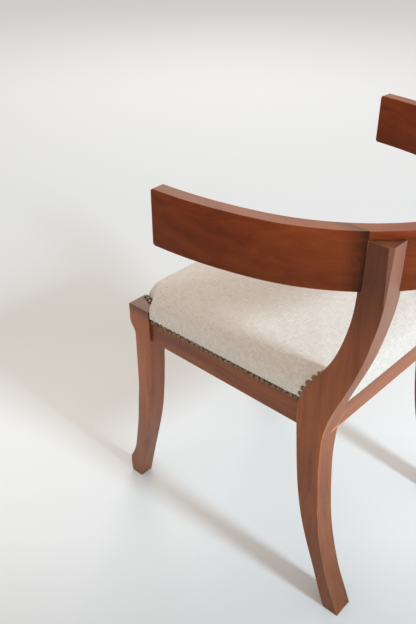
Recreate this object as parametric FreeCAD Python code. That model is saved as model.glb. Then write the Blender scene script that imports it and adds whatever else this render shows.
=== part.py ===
import FreeCAD, Part
import math
import os

# Klismos chair: sabre legs, a bent crest rail let into the rear posts, an upholstered seat.
# Millimetres. The chair faces -Y, the sitter's left hand is +X, the floor is Z = 0.
# Depths are first measured from the front of the seat frame; the finished pieces are then
# moved so that the origin lies on the floor under the middle of the chair's outline.

# Side frames: each is a front leg, a side rail and a rear post in one upright plane
FRAME_HALF_WIDTH = 232.0   # middle of the chair to the outer face of a front leg
FRAME_TAPER = 1.33         # degrees by which each side frame turns in towards the back
POST_BACK = 535.0          # depth of the rear face of a post at its top
POST_BELOW_CREST = 14.0    # the crest stands this far above the top of a post
POST_DEPTH = 44.5          # front to back, at the top of a post
POST_WIDTH = 42.0
CHAMFER_WIDTH = 6.3        # of the tapered chamfer, at the top of a post
CHAMFER_BOTTOM = 668.0     # height at which that chamfer runs out
POST_NECK = 704.0          # height above which a post stands upright
POST_SWELL = 6.0           # the inner face of a post swells by this much at the rails
SWELL_MIDDLE = 425.0       # height at which it is widest
SWELL_REACH = 105.0        # above and below that, the post is plain again
FRONT_LEG_WIDTH = 41.4
FRONT_FOOT_WIDTH = 32.0
FRONT_TAPER_TOP = 240.0    # height below which the inner face of a front leg narrows
FRONT_TOE = -30.5          # depth of the front of a front foot on the floor
FRONT_TOE_BULGE = 3.0      # the toe swells forward by this much above the floor

# Front leg block, the square top of a front leg that the cover is cut around
BLOCK_TOP = 472.0
BLOCK_FRONT = -3.0
BLOCK_BACK = 51.3
LEG_FRONT = 10.5           # front of the leg under the block

# Seat rails
RAIL_BOTTOM = 403.0
RAIL_HEIGHT = 66.0
RAIL_THICKNESS = 24.0
SIDE_RAIL_RECESS = 6.3     # side rail set back from the outer faces of the legs
FRONT_RAIL_RECESS = 1.5    # front rail set back from the front of the leg
BACK_RAIL_BACK = 461.0     # depth of the rear face of the back rail
SIDE_RAIL_END = 408.0      # depth at which a side rail meets the front of its post

# Mortise and tenon joints
TENON_THICKNESS = 10.0
TENON_SHOULDER = 8.0       # step above and below each tenon
SIDE_TENON_LENGTH = 22.0
CROSS_TENON_LENGTH = 16.0
TENON_FIT = 0.1            # play on the cheeks of a tenon
MORTISE_SPARE = 1.0        # glue room at the end of a tenon

# Crest rail: three arcs a side, from the middle outwards (radius, degrees)
CREST_ARCS = ((285.0, 41.6), (361.0, 31.1), (702.0, 15.1))
CREST_THICKNESS = 23.5
CREST_HEIGHT = 95.0
CREST_TOP = 800.0
POST_TOP = CREST_TOP - POST_BELOW_CREST
CREST_LET_IN = 37.4        # post left behind the crest on its outer face
CREST_TIP_RADIUS = 5.0
DOWEL_DIAMETER = 8.0
DOWEL_IN_CREST = 14.0
DOWEL_IN_POST = 15.0
DOWELS_BELOW_TOP = (72.0, 36.0)    # middle of each dowel below the crest's top
DOWEL_HEIGHTS = tuple(CREST_TOP - below for below in DOWELS_BELOW_TOP)
DOWEL_SPARE = 1.0
DOWEL_SIDES = 12

# Corner blocks and their screws
CORNER_BLOCK_HEIGHT = 30.0
CORNER_BLOCK_BOTTOM = 420.0
CORNER_BLOCK_REACH = 82.0  # along each rail, from the middle of the rails' corner
SCREW_DIAMETER = 4.0
SCREW_HEAD_DIAMETER = 8.0
SCREW_LENGTH = 32.0
SCREW_GRIP = 15.0          # wood left under a screw head
SCREW_STAGGER = 6.0        # one screw passes above the other
SCREW_PLACE = 0.55         # share of the reach at which a screw stands
SCREW_SIDES = 6

# Webbing, woven over and under, tacked on top of the rails
STRAP_WIDTH = 50.0
STRAP_THICKNESS = 1.2
STRAP_COUNT = 4
STRAP_TO_POST = 13.0       # clear between the outermost lengthwise strap and a post
CROSSWISE_PITCH = 92.0
CROSSWISE_FIRST = 86.0     # depth of the middle of the first crosswise strap
STRAP_ON_RAIL = 17.0       # length of strap that lies on a rail
STRAP_FLAT = 3.0           # level stretch beside each crossing
TACK_HEAD = 7.0
TACK_HEAD_HEIGHT = 1.0
TACK_SHANK = 1.6
TACK_LENGTH = 11.0
TACK_HEAD_SIDES = 4
TACK_SPREAD = 32.0         # between the two tacks at a strap's end

# Seat layers
HESSIAN_THICKNESS = 0.8
COVER_THICKNESS = 1.2
WADDING_THICKNESS = 5.0
HEM_AT_FRONT = 49.0        # the cover's edge above the rails' lower edge, on the front rail
HEM_AT_POST = 56.5         # it climbs along the side rails up to the posts
HEM_AT_BACK = 43.7         # and reaches lower on the back rail
HEM_FLAT = 5.0             # height above the hem over which the cover lies flat on the rail
SEAT_RINGS = 7             # outlines stacked over the rolled edge of the cover
FOAM_RINGS = 5             # the same for the foam
SEAT_CORNER_CHORDS = 4     # flats round each corner of an outline
SEAT_LAST_RING = 72.0      # degrees round the rolled edge at which the flat of the crown begins
SEAT_CROWN = 528.0
SEAT_SHOULDER = 480.0      # height at which the sides begin to turn in
SEAT_ROLL = 2.7            # roundness of the rolled edge: 2 is an ellipse, more is squarer
SIDE_BULGE = 5.6           # cover stands out from the side rail, in line with the legs
END_BULGE = 7.0            # the same on the front and back rails
SEAT_CORNER_RADIUS = 26.0
BLOCK_CORNER_LEFT = 33.0   # length of the block's inner face that the cover leaves bare
BLOCK_CUT_RISE = 14.0      # the cover's edge on the block starts to bend this far before that
BLOCK_CUT_BEND = 0.4       # share of the way back that the bend has gone at its middle

# Decorative nails
NAIL_DIAMETER = 10.5
NAIL_HEIGHT = 3.2
NAIL_PITCH = 11.6
NAIL_SIDES = 6
NAIL_SHANK = 1.4
NAIL_LENGTH = 14.0

# Dust cover under the seat
DUST_COVER_THICKNESS = 0.8
DUST_COVER_MARGIN = 7.0
DUST_TACK_COUNT = 4
DUST_TACK_PITCH = 88.0

# Cutting shapes reach this far past what they cut
CLEAR = 20.0

V = FreeCAD.Vector
UP = V(0, 0, 1)

rail_top = RAIL_BOTTOM + RAIL_HEIGHT
front_rail_front = LEG_FRONT + FRONT_RAIL_RECESS
front_rail_back = front_rail_front + RAIL_THICKNESS
back_rail_front = BACK_RAIL_BACK - RAIL_THICKNESS
post_front = POST_BACK - POST_DEPTH
crest_bottom = CREST_TOP - CREST_HEIGHT
hem_front = RAIL_BOTTOM + HEM_AT_FRONT
hem_post = RAIL_BOTTOM + HEM_AT_POST
hem_back = RAIL_BOTTOM + HEM_AT_BACK
taper = math.radians(FRAME_TAPER)


# Plain geometry
def box(x0, x1, y0, y1, z0, z1):
    return Part.makeBox(x1 - x0, y1 - y0, z1 - z0, V(x0, y0, z0))


def path(points):
    return Part.makePolygon([V(*p) for p in points])


def smooth(points, start=None, end=None):
    curve = Part.BSplineCurve()
    if start and end:
        curve.interpolate(Points=points, InitialTangent=V(*start), FinalTangent=V(*end))
    else:
        curve.interpolate(Points=points)
    return curve.toShape()


def solid_from(edges, direction):
    return Part.Face(Part.Wire(Part.sortEdges(edges)[0])).extrude(direction)


def side_points(pairs):
    return [V(0, depth, height) for depth, height in pairs]


def mirrored(shape):
    return shape.mirror(V(0, 0, 0), V(1, 0, 0))


def ring(radius, sides, height=0.0):
    """Corners of a level polygon about the origin."""
    turns = [2 * math.pi * k / sides for k in range(sides)]
    return [V(radius * math.cos(turn), radius * math.sin(turn), height) for turn in turns]


def stacked(rings):
    """A solid with flat sides between level polygons whose sides are parallel, from the lowest up."""
    faces = [Part.Face(path(rings[0] + rings[0][:1])), Part.Face(path(rings[-1] + rings[-1][:1]))]
    for lower, upper in zip(rings, rings[1:]):
        for k in range(len(lower)):
            n = (k + 1) % len(lower)
            faces.append(Part.Face(path([lower[k], lower[n], upper[n], upper[k], lower[k]])))
    return Part.Solid(Part.Shell(faces))


def faceted(radius_start, radius_end, start, end, sides):
    """A prism or taper about Z with flat sides, which keeps small fasteners light."""
    return stacked([ring(radius_start, sides, start), ring(radius_end, sides, end)])


def aimed(shape, at, direction, axis=UP):
    """The shape with its own axis turned to direction and its origin moved to at."""
    placed = shape.copy()
    placed.Placement = FreeCAD.Placement(at, FreeCAD.Rotation(axis, direction))
    return placed


# Side frame: x = 0 is the outer face, minus x is towards the middle of the chair
def on_left(shape):
    placed = shape.copy()
    placed.rotate(V(0, 0, 0), UP, FRAME_TAPER)
    placed.translate(V(FRAME_HALF_WIDTH, 0, 0))
    return placed


def outer_x(depth, inward=0.0):
    return FRAME_HALF_WIDTH - inward / math.cos(taper) - depth * math.tan(taper)


def front_leg_plank():
    toe_top = V(0, FRONT_TOE - 1.5, 44.0)
    toe = Part.Arc(V(0, FRONT_TOE, 0), V(0, FRONT_TOE - FRONT_TOE_BULGE, 24.0), toe_top).toShape()
    neck = V(0, LEG_FRONT, RAIL_BOTTOM)
    shin = smooth([toe_top] + side_points(((-19.0, 71.0), (-8.0, 120.0), (0.5, 175.0), (6.5, 240.0)))
                  + [neck], (0, 0.45, 1), (0, 0, 1))
    lip = V(0, BLOCK_FRONT, RAIL_BOTTOM + 36.0)
    middle = (neck + lip) * 0.5
    ogee = smooth([neck, middle, lip], (0, 0, 1), (0, 0, 1))
    top_front = V(0, BLOCK_FRONT, BLOCK_TOP)
    top_back = V(0, BLOCK_BACK, BLOCK_TOP)
    hip = V(0, BLOCK_BACK, RAIL_BOTTOM - 8.0)
    heel = V(0, -1.0, 0)
    calf = smooth([hip] + side_points(((48.6, 307.0), (37.6, 192.0), (17.2, 78.0))) + [heel],
                  (0, 0, -1), (0, -0.25, -1))
    lines = [Part.LineSegment(lip, top_front).toShape(), Part.LineSegment(top_front, top_back).toShape(),
             Part.LineSegment(top_back, hip).toShape(), Part.LineSegment(heel, V(0, FRONT_TOE, 0)).toShape()]
    plank = solid_from([toe, shin, ogee, calf] + lines, V(-FRONT_LEG_WIDTH, 0, 0))
    ahead = FRONT_TOE - CLEAR
    taper_top = V(-FRONT_LEG_WIDTH, ahead, FRONT_TAPER_TOP)
    foot_inside = V(-FRONT_FOOT_WIDTH, ahead, 0)
    inner = smooth([taper_top, V(-FRONT_FOOT_WIDTH - 4.6, ahead, 150.0),
                    V(-FRONT_FOOT_WIDTH + 0.2, ahead, 75.0), foot_inside], (0, 0, -1), (0, 0, -1))
    beyond = -FRONT_LEG_WIDTH - CLEAR
    outside = path([foot_inside, (beyond, ahead, 0), (beyond, ahead, FRONT_TAPER_TOP), taper_top])
    waste = solid_from([inner] + outside.Edges, V(0, BLOCK_BACK - FRONT_TOE + 2 * CLEAR, 0))
    return plank.cut(waste)


def rear_post_plank():
    toe_front = V(0, 505.0, 0)
    heel = V(0, 537.0, 0)
    neck_front = V(0, post_front, POST_NECK)
    neck_back = V(0, POST_BACK, POST_NECK)
    front = smooth([toe_front] + side_points(((474.5, 85.0), (444.0, 172.0), (421.0, 281.0), (411.0, 380.0),
                                              (SIDE_RAIL_END, 440.0), (413.5, 480.0), (441.0, 528.0), (467.5, 578.0),
                                              (483.5, 634.0))) + [neck_front], (0, -0.45, 1), (0, 0, 1))
    back = smooth([neck_back] + side_points(((529.0, 650.0), (514.5, 582.0), (487.0, 500.0), (466.0, 435.0),
                                             (460.5, 365.0), (464.5, 288.0), (476.5, 184.0), (508.0, 69.0)))
                  + [heel], (0, 0, -1), (0, 0.4, -1))
    top_front = V(0, post_front, POST_TOP)
    top_back = V(0, POST_BACK, POST_TOP)
    lines = [Part.LineSegment(neck_front, top_front).toShape(), Part.LineSegment(top_front, top_back).toShape(),
             Part.LineSegment(top_back, neck_back).toShape(), Part.LineSegment(heel, toe_front).toShape()]
    plank = solid_from([front, back] + lines, V(-POST_WIDTH - POST_SWELL, 0, 0))
    ahead = SIDE_RAIL_END - CLEAR
    low = V(-POST_WIDTH, ahead, SWELL_MIDDLE - SWELL_REACH)
    high = V(-POST_WIDTH, ahead, SWELL_MIDDLE + SWELL_REACH)
    inner = smooth([low, V(-POST_WIDTH - POST_SWELL, ahead, SWELL_MIDDLE), high], (0, 0, 1), (0, 0, 1))
    beyond = -POST_WIDTH - POST_SWELL - CLEAR
    outside = path([high, (-POST_WIDTH, ahead, POST_TOP + CLEAR), (beyond, ahead, POST_TOP + CLEAR),
                    (beyond, ahead, -CLEAR), (-POST_WIDTH, ahead, -CLEAR), low])
    waste = solid_from([inner] + outside.Edges, V(0, POST_BACK - ahead + CLEAR, 0))
    return plank.cut(waste)


# Crest rail
def crest_outline(inset):
    """The arcs of one long face of the crest, from its middle to the left tip, and the tip."""
    heading = 0.0
    point = V(0, -inset, 0)
    half = []
    for radius, degrees in CREST_ARCS:
        centre = V(point.x - (radius - inset) * math.sin(heading),
                   point.y - (radius - inset) * math.cos(heading), 0)
        middle = heading + math.radians(degrees) / 2
        heading = heading + math.radians(degrees)
        through = centre + V(math.sin(middle), math.cos(middle), 0) * (radius - inset)
        end = centre + V(math.sin(heading), math.cos(heading), 0) * (radius - inset)
        half.append(Part.Arc(point, through, end).toShape())
        point = end
    return half, point


def crest_drop(x):
    """How far forward the crest's outer face has come at this x, and its heading there."""
    point = V(0, 0, 0)
    heading = 0.0
    for radius, degrees in CREST_ARCS:
        centre = V(point.x - radius * math.sin(heading), point.y - radius * math.cos(heading), 0)
        heading_end = heading + math.radians(degrees)
        end = centre + V(math.sin(heading_end), math.cos(heading_end), 0) * radius
        if x <= end.x:
            angle = math.asin((x - centre.x) / radius)
            return -(centre.y + radius * math.cos(angle)), angle
        point = end
        heading = heading_end
    return -end.y, heading


post_outer_x = outer_x(POST_BACK)
crest_back = POST_BACK - CREST_LET_IN + crest_drop(post_outer_x)[0]


def crest_blank():
    outer, outer_tip = crest_outline(0.0)
    inner, inner_tip = crest_outline(CREST_THICKNESS)
    tip = Part.LineSegment(outer_tip, inner_tip).toShape()
    half = outer + inner + [tip]
    edges = half + [mirrored(edge) for edge in half]
    blank = solid_from(edges, V(0, 0, CREST_HEIGHT))
    blank.translate(V(0, crest_back, crest_bottom))
    tips = [edge for edge in blank.Edges
            if edge.BoundBox.ZLength < 1 and abs(abs(edge.CenterOfMass.x) - abs(outer_tip.x)) < CREST_THICKNESS
            and abs(edge.Length - CREST_THICKNESS) < 0.5]
    return blank.makeFillet(CREST_TIP_RADIUS, tips)


def inside_crest():
    """Everything on the hollow side of the crest's outer face, above its lower edge."""
    outer, outer_tip = crest_outline(0.0)
    across = Part.LineSegment(outer_tip, V(-outer_tip.x, outer_tip.y, 0)).toShape()
    space = solid_from(outer + [mirrored(edge) for edge in outer] + [across], V(0, 0, CREST_HEIGHT + CLEAR))
    space.translate(V(0, crest_back, crest_bottom))
    return space


def post_chamfer():
    """The tapered chamfer on the outer rear corner at the top of a post."""
    low = V(0, POST_BACK, CHAMFER_BOTTOM)
    high = POST_TOP + CLEAR
    width = CHAMFER_WIDTH * (high - CHAMFER_BOTTOM) / (POST_TOP - CHAMFER_BOTTOM)
    over = 0.2
    corners = [V(-width, POST_BACK + over, high), V(over, POST_BACK + over, high), V(over, POST_BACK - width, high)]
    faces = [Part.Face(path([a, b, low, a])) for a, b in zip(corners, corners[1:] + corners[:1])]
    faces.append(Part.Face(path(corners + corners[:1])))
    return Part.Solid(Part.Shell(faces))


def dowels():
    at_x = post_outer_x - CREST_LET_IN / 2
    drop, heading = crest_drop(at_x)
    outward = V(math.sin(heading), math.cos(heading), 0)
    face = V(at_x, crest_back - drop, 0)
    pins = []
    holes = []
    for height in DOWEL_HEIGHTS:
        start = face - outward * DOWEL_IN_CREST + UP * height
        length = DOWEL_IN_CREST + DOWEL_IN_POST
        radius = DOWEL_DIAMETER / 2
        pins.append(aimed(faceted(radius, radius, 0, length, DOWEL_SIDES), start, outward))
        holes.append(aimed(faceted(radius, radius, -DOWEL_SPARE, length + DOWEL_SPARE, DOWEL_SIDES),
                           start, outward))
    return pins, holes


# Rails, each blank with its tenons, cut to the legs it meets
def tenon_box(x0, x1, y0, y1, fit=0.0):
    low = RAIL_BOTTOM + TENON_SHOULDER
    high = rail_top - TENON_SHOULDER
    return box(x0, x1, y0, y1, low - fit, high + fit)


def side_tenons(spare=0.0, fit=0.0):
    middle = -SIDE_RAIL_RECESS - RAIL_THICKNESS / 2
    cheek = TENON_THICKNESS / 2 + fit
    front = tenon_box(middle - cheek, middle + cheek, BLOCK_BACK - SIDE_TENON_LENGTH - spare, BLOCK_BACK + 1, fit)
    back_end = SIDE_RAIL_END + SIDE_TENON_LENGTH + spare
    back = tenon_box(middle - cheek, middle + cheek, SIDE_RAIL_END - CLEAR, back_end, fit)
    return on_left(front), on_left(back)


def cross_tenon(depth, inner_face, spare=0.0, fit=0.0):
    cheek = TENON_THICKNESS / 2 + fit
    end = outer_x(depth, inner_face) + CROSS_TENON_LENGTH + spare
    return tenon_box(0, end, depth - cheek, depth + cheek, fit)


def side_rail(post):
    blank = on_left(box(-SIDE_RAIL_RECESS - RAIL_THICKNESS, -SIDE_RAIL_RECESS, BLOCK_BACK, SIDE_RAIL_END + CLEAR,
                        RAIL_BOTTOM, rail_top)).cut(post)
    front, back = side_tenons()
    return blank.fuse([front, back.cut(blank)]).removeSplitter()


def cross_rail(front, thickness, inner_face, leg):
    middle = front + thickness / 2
    blank = box(0, outer_x(middle, inner_face) + CLEAR, front, front + thickness, RAIL_BOTTOM, rail_top).cut(leg)
    half = blank.fuse(cross_tenon(middle, inner_face))
    return half.fuse(mirrored(half)).removeSplitter()


# Corner blocks
def corner_block(corner_x, corner_y, towards_back, neighbours):
    step = CORNER_BLOCK_REACH if towards_back else -CORNER_BLOCK_REACH
    corners = [V(corner_x, corner_y, 0), V(corner_x, corner_y + step, 0),
               V(corner_x - CORNER_BLOCK_REACH, corner_y, 0)]
    block = Part.Face(path(corners + corners[:1])).extrude(V(0, 0, CORNER_BLOCK_HEIGHT))
    block.translate(V(0, 0, CORNER_BLOCK_BOTTOM))
    for neighbour in neighbours:
        block = block.cut(neighbour)
    return max(block.Solids, key=lambda solid: solid.Volume)


def screw(head, direction):
    taper_length = SCREW_HEAD_DIAMETER / 2 - SCREW_DIAMETER / 2
    cone = faceted(SCREW_HEAD_DIAMETER / 2, SCREW_DIAMETER / 2, 0, taper_length, SCREW_SIDES)
    shank = faceted(SCREW_DIAMETER / 2, SCREW_DIAMETER / 2, taper_length, SCREW_LENGTH, SCREW_SIDES)
    return aimed(cone.fuse(shank), head, direction)


def pocket(head, direction):
    radius = SCREW_HEAD_DIAMETER / 2
    return aimed(faceted(radius, radius, -CORNER_BLOCK_REACH, 0, SCREW_SIDES), head, direction)


# Webbing
def strap_profile(start, end, crossings, lifted):
    """Points of the strap's underside as (along, height): level at each crossing."""
    low = rail_top
    points = [(start, low)]
    half = STRAP_WIDTH / 2 + STRAP_FLAT
    for centre, lift in zip(crossings, lifted):
        level = low + STRAP_THICKNESS if lift else low
        points.append((centre - half, level))
        points.append((centre + half, level))
    points.append((end, low))
    return points


def strap_solid(profile, across, lengthwise):
    outline = profile + [(along, height + STRAP_THICKNESS) for along, height in reversed(profile)]
    if lengthwise:
        points = [V(across - STRAP_WIDTH / 2, along, height) for along, height in outline]
        direction = V(STRAP_WIDTH, 0, 0)
    else:
        points = [V(along, across - STRAP_WIDTH / 2, height) for along, height in outline]
        direction = V(0, STRAP_WIDTH, 0)
    return Part.Face(path(points + points[:1])).extrude(direction)


def tack_solid(at, direction):
    """A small flat-headed tack pointing along direction, and the hole that it makes."""
    half = TACK_SHANK / 2
    shank = box(-half, half, -half, half, 0, TACK_LENGTH)
    head = faceted(TACK_HEAD / 2, TACK_HEAD / 2, -TACK_HEAD_HEIGHT, 0, TACK_HEAD_SIDES)
    return aimed(head.fuse(shank), at, direction), aimed(shank, at, direction)


# Seat layers: stacked outlines, narrowing towards the crown
def seat_outline(side_out, end_out, corner, height):
    """Corners of a rounded trapezium that follows the rails' outer faces, moved out by these amounts."""
    y0 = front_rail_front - end_out
    y1 = BACK_RAIL_BACK + end_out
    x0 = outer_x(y0, SIDE_RAIL_RECESS) + side_out
    x1 = outer_x(y1, SIDE_RAIL_RECESS) + side_out
    lean = (x0 - x1) / (y1 - y0)
    turns = [math.radians(90.0) * k / SEAT_CORNER_CHORDS for k in range(SEAT_CORNER_CHORDS + 1)]
    front = []
    back = []
    for turn in turns:
        across = corner * (1 - math.sin(turn))
        along = corner * (1 - math.cos(turn))
        front.append(V(x0 - across - lean * along, y0 + along, height))
        back.append(V(x1 - across + lean * along, y1 - along, height))
    right = front + back[::-1]
    return right + [V(-point.x, point.y, point.z) for point in right[::-1]]


def seat_form(inset, ring_count=SEAT_RINGS):
    """The crowned seat, as a solid inset by this much from the outside of the cover."""
    out = COVER_THICKNESS - inset
    rings = [seat_outline(out, out, SEAT_CORNER_RADIUS, height) for height in (hem_back, hem_post + HEM_FLAT)]
    half_width = FRAME_HALF_WIDTH - SIDE_RAIL_RECESS
    for step in range(ring_count):
        angle = math.radians(SEAT_LAST_RING * step / (ring_count - 1))
        reach_in = half_width * (1 - math.cos(angle) ** (2 / SEAT_ROLL))
        height = SEAT_SHOULDER + (SEAT_CROWN - SEAT_SHOULDER - inset) * math.sin(angle) ** (2 / SEAT_ROLL)
        rings.append(seat_outline(SIDE_BULGE - reach_in - inset, END_BULGE - reach_in - inset,
                                  SEAT_CORNER_RADIUS + 0.3 * reach_in, height))
    return stacked(rings)


def below_hem():
    """The space under the cover's edge, on every side but the back."""
    slope = (hem_post - hem_front) / (SIDE_RAIL_END - BLOCK_BACK)
    hem_end = hem_front + slope * (back_rail_front - BLOCK_BACK)
    ahead = BLOCK_FRONT - CLEAR
    corners = side_points(((ahead, 0), (ahead, hem_front), (BLOCK_BACK, hem_front), (back_rail_front, hem_end),
                           (back_rail_front, 0), (ahead, 0)))
    space = Part.Face(path(corners)).extrude(V(2 * FRAME_HALF_WIDTH + 2 * CLEAR, 0, 0))
    space.translate(V(-FRAME_HALF_WIDTH - CLEAR, 0, 0))
    return space


def everywhere(low, high):
    """A slab between two heights, past the seat on all sides."""
    across = FRAME_HALF_WIDTH + CLEAR
    return box(-across, across, BLOCK_FRONT - CLEAR, POST_BACK + CLEAR, low, high)


def block_notch(grow=0.0):
    """Above the block, the cover is cut back to leave most of the block's top bare."""
    x_in = outer_x(BLOCK_CORNER_LEFT, FRONT_LEG_WIDTH) - grow
    x_out = outer_x(BLOCK_BACK) + 0.5
    ahead = BLOCK_FRONT - CLEAR
    back = BLOCK_BACK + 1.0 + grow
    bend_start = BLOCK_CORNER_LEFT - BLOCK_CUT_RISE + grow
    inner = V(x_in, bend_start, BLOCK_TOP)
    outer = V(x_out, back, BLOCK_TOP)
    bend = V((x_in + x_out) / 2, bend_start + (back - bend_start) * BLOCK_CUT_BEND, BLOCK_TOP)
    front = V(x_in, ahead, BLOCK_TOP)
    edges = [Part.LineSegment(front, inner).toShape(), Part.Arc(inner, bend, outer).toShape()]
    rest = path([outer, (x_out + CLEAR, back, BLOCK_TOP), (x_out + CLEAR, ahead, BLOCK_TOP), front])
    return solid_from(edges + rest.Edges, V(0, 0, SEAT_CROWN - BLOCK_TOP + CLEAR))


def grown_post(post):
    """The space of a left post and of the cover that turns in along it; the last one reaches furthest."""
    spaces = [post]
    for inward, forward in ((1, 0), (0, 1), (1, 1)):
        space = post.copy()
        space.translate(V(-COVER_THICKNESS * inward, -COVER_THICKNESS * forward, 0))
        spaces.append(space)
    return spaces


def rails_outline(height, margin=0.0):
    y0 = front_rail_front + margin
    y1 = BACK_RAIL_BACK - margin
    x0 = outer_x(y0, SIDE_RAIL_RECESS) - margin
    x1 = outer_x(y1, SIDE_RAIL_RECESS) - margin
    corners = [V(-x0, y0, height), V(x0, y0, height), V(x1, y1, height), V(-x1, y1, height)]
    return Part.Face(path(corners + corners[:1]))


# Decorative nails
def dome_nail(at, direction):
    """A domed nail head with flat facets on a square shank, and the hole that it makes."""
    rim = ring(NAIL_DIAMETER / 2, NAIL_SIDES)
    brow = ring(NAIL_DIAMETER * 0.34, NAIL_SIDES, NAIL_HEIGHT * 0.72)
    tip = V(0, 0, NAIL_HEIGHT)
    faces = [Part.Face(path(rim + rim[:1]))]
    for k in range(NAIL_SIDES):
        n = (k + 1) % NAIL_SIDES
        faces.append(Part.Face(path([rim[k], rim[n], brow[n], brow[k], rim[k]])))
        faces.append(Part.Face(path([brow[k], brow[n], tip, brow[k]])))
    half = NAIL_SHANK / 2
    shank = box(-half, half, -half, half, -NAIL_LENGTH, 0)
    nail = Part.Solid(Part.Shell(faces)).fuse(shank)
    return aimed(nail, at, direction, V(0, 0, -1)), aimed(shank, at, direction, V(0, 0, -1))


def nail_row(start, end, direction):
    length = (end - start).Length
    count = int(length / NAIL_PITCH) + 1
    step = (end - start) * (1.0 / max(count - 1, 1))
    return [dome_nail(start + step * k, direction) for k in range(count)]


# Wood
leg_left = on_left(front_leg_plank())
post_left_full = on_left(rear_post_plank().cut(post_chamfer()))
side_rail_left = side_rail(post_left_full)
front_rail = cross_rail(front_rail_front, RAIL_THICKNESS, FRONT_LEG_WIDTH, leg_left)
back_rail = cross_rail(back_rail_front, RAIL_THICKNESS, POST_WIDTH, post_left_full)
crest = crest_blank()
pins_left, pin_holes_left = dowels()

front_mortise, back_mortise = side_tenons(MORTISE_SPARE, TENON_FIT)
front_middle = front_rail_front + RAIL_THICKNESS / 2
back_middle = back_rail_front + RAIL_THICKNESS / 2
leg_left = leg_left.cut([front_mortise, cross_tenon(front_middle, FRONT_LEG_WIDTH, MORTISE_SPARE, TENON_FIT)])
post_left = post_left_full.cut(inside_crest())
post_left = post_left.cut([back_mortise, cross_tenon(back_middle, POST_WIDTH, MORTISE_SPARE, TENON_FIT)]
                          + pin_holes_left)
crest = crest.cut(pin_holes_left + [mirrored(hole) for hole in pin_holes_left])

# Corner blocks and screws
side_middle_x = outer_x(front_middle, SIDE_RAIL_RECESS + RAIL_THICKNESS / 2)
back_corner_x = outer_x(back_middle, SIDE_RAIL_RECESS + RAIL_THICKNESS / 2)
block_front_left = corner_block(side_middle_x, front_middle, True, [side_rail_left, front_rail, leg_left])
block_back_left = corner_block(back_corner_x, back_middle, False, [side_rail_left, back_rail, post_left_full])

screws_left = []
for corner_x, corner_y, way in ((side_middle_x, front_middle, 1), (back_corner_x, back_middle, -1)):
    height = CORNER_BLOCK_BOTTOM + CORNER_BLOCK_HEIGHT / 2
    rail_face = RAIL_THICKNESS / 2
    beside = CORNER_BLOCK_REACH * SCREW_PLACE
    head_x = corner_x - rail_face - SCREW_GRIP
    screws_left.append((V(head_x, corner_y + way * beside, height + SCREW_STAGGER), V(1, 0, 0)))
    head_y = corner_y + way * (rail_face + SCREW_GRIP)
    screws_left.append((V(corner_x - beside, head_y, height - SCREW_STAGGER), V(0, -way, 0)))
screw_solids = [screw(head, direction) for head, direction in screws_left]
pockets = [pocket(head, direction) for head, direction in screws_left]
block_front_left = block_front_left.cut(screw_solids + pockets)
block_back_left = block_back_left.cut(screw_solids + pockets)
side_rail_left = side_rail_left.cut(screw_solids)
front_rail = front_rail.cut(screw_solids + [mirrored(solid) for solid in screw_solids])
back_rail = back_rail.cut(screw_solids + [mirrored(solid) for solid in screw_solids])

# Webbing straps and their tacks
outermost = outer_x(BACK_RAIL_BACK, POST_WIDTH + STRAP_TO_POST) - STRAP_WIDTH / 2
lengthwise_at = [outermost * (2 * k / (STRAP_COUNT - 1) - 1) for k in range(STRAP_COUNT)]
crosswise_at = [CROSSWISE_FIRST + k * CROSSWISE_PITCH for k in range(STRAP_COUNT)]
straps = {}
tacks = []
tack_holes = []


def tack_down(x, y):
    tack, hole = tack_solid(V(x, y, rail_top + STRAP_THICKNESS), V(0, 0, -1))
    tacks.append(tack)
    tack_holes.append(hole)


for i, x in enumerate(lengthwise_at):
    lifted = [(i + j) % 2 == 0 for j in range(STRAP_COUNT)]
    ends = (front_rail_back - STRAP_ON_RAIL, back_rail_front + STRAP_ON_RAIL)
    straps["webbing_lengthwise_%d" % (i + 1)] = strap_solid(strap_profile(*ends, crosswise_at, lifted), x, True)
    for y in (ends[0] + STRAP_ON_RAIL / 2, ends[1] - STRAP_ON_RAIL / 2):
        for side in (-0.5, 0.5):
            tack_down(x + side * TACK_SPREAD, y)
for j, y in enumerate(crosswise_at):
    lifted = [(i + j) % 2 == 1 for i in range(STRAP_COUNT)]
    reach = outer_x(y, SIDE_RAIL_RECESS + RAIL_THICKNESS - STRAP_ON_RAIL)
    straps["webbing_crosswise_%d" % (j + 1)] = strap_solid(strap_profile(-reach, reach, lengthwise_at, lifted),
                                                           y, False)
    for x in (-reach + STRAP_ON_RAIL / 2, reach - STRAP_ON_RAIL / 2):
        for side in (-0.5, 0.5):
            tack_down(x, y + side * TACK_SPREAD)

# Hessian, foam, wadding and cover
both_legs = [leg_left, mirrored(leg_left)]
both_posts = [post_left_full, mirrored(post_left_full)]
hessian_bottom = rail_top + 2 * STRAP_THICKNESS
hessian_top = hessian_bottom + HESSIAN_THICKNESS
hessian = rails_outline(hessian_bottom).extrude(V(0, 0, HESSIAN_THICKNESS))
hessian = hessian.cut(both_legs + both_posts)
post_in_seat = post_left_full.common(everywhere(hem_back - CLEAR, SEAT_CROWN + CLEAR))
post_spaces = grown_post(post_in_seat)
around = both_legs + [post_in_seat, mirrored(post_in_seat), block_notch(), mirrored(block_notch())]
inside_around = both_legs + [block_notch(COVER_THICKNESS), mirrored(block_notch(COVER_THICKNESS))]
inside_around += post_spaces + [mirrored(space) for space in post_spaces]
padding = seat_form(COVER_THICKNESS).cut(inside_around)
cover = seat_form(0.0).cut(around).cut(padding).cut(below_hem())
rails_block = rails_outline(RAIL_BOTTOM).extrude(V(0, 0, hessian_top - RAIL_BOTTOM))
foam_around = both_legs + [block_notch(COVER_THICKNESS), mirrored(block_notch(COVER_THICKNESS)),
                           post_spaces[-1], mirrored(post_spaces[-1])]
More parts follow.
